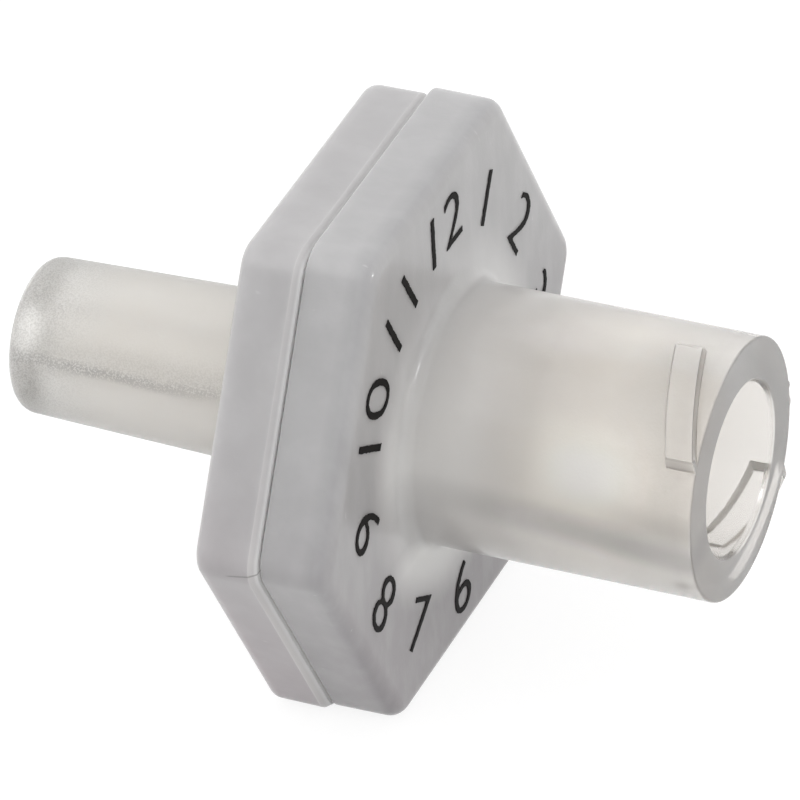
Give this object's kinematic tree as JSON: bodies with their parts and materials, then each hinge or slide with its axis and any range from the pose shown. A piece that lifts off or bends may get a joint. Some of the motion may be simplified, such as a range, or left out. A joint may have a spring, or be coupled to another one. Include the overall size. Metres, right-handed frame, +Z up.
{
  "type": "syringe filter",
  "caption": "Small luer syringe filter: a welded hexagonal housing clamps a membrane disc between a female luer lock inlet port and a male luer slip outlet tube.",
  "frame": {"origin": "on the surface that the body stands on, under the middle of the whole", "axes": "+X along the flow axis, out of the inlet port, and +Z up, away from the flat that the body stands on"},
  "size_m": [0.0186, 0.0156, 0.0136],
  "materials": {
    "housing_plastic": "natural translucent polypropylene, smooth with a soft sheen",
    "membrane": "white microporous sheet, matte",
    "ring_plastic": "natural polypropylene, satin",
    "print_ink": "thin black pad print"
  },
  "bodies": {
    "root": {"inlet_housing": "housing_plastic", "outlet_housing": "housing_plastic", "membrane": "membrane", "membrane_ring": "ring_plastic"}
  },
  "joints": []
}
